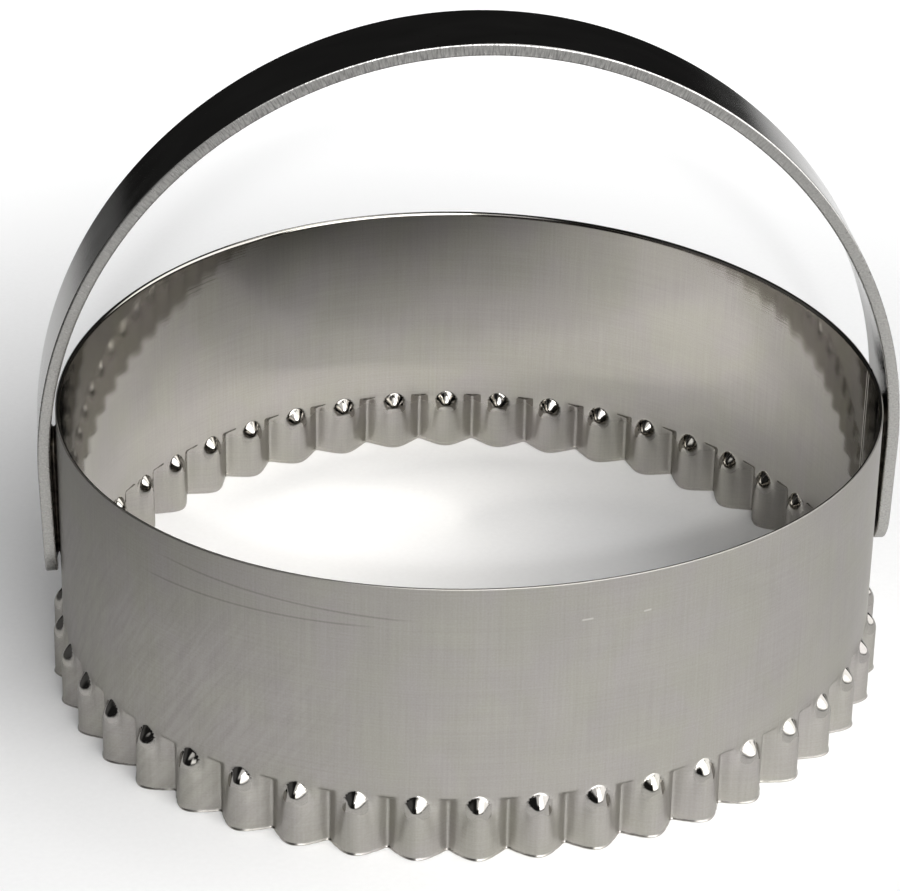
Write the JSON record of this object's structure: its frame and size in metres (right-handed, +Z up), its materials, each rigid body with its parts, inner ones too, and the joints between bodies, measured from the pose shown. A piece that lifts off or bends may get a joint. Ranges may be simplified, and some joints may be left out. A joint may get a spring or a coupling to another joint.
{
  "type": "round dough cutter",
  "caption": "Round fluted dough and pastry cutter: a thin stainless ring with a crimped cutting edge and an arched strap handle over its open top.",
  "frame": {"origin": "centre of the ring in the plane of its cutting edge", "axes": "+Z up from the cutting edge to the handle, X along the handle's arch from leg to leg, Y through the finger gap under the handle"},
  "size_m": [0.104, 0.1024, 0.0801],
  "materials": {
    "ring_steel": "satin rolled sheet, polished at the pressed flutes",
    "handle_steel": "bright rolled faces, sheared edges with fine cross marks",
    "weld_steel": "dull weld metal"
  },
  "bodies": {
    "root": {"cutter_ring": "ring_steel", "ring_seam_weld": "weld_steel", "handle_strap": "handle_steel", "left_spot_welds": "weld_steel", "right_spot_welds": "weld_steel"}
  },
  "joints": []
}
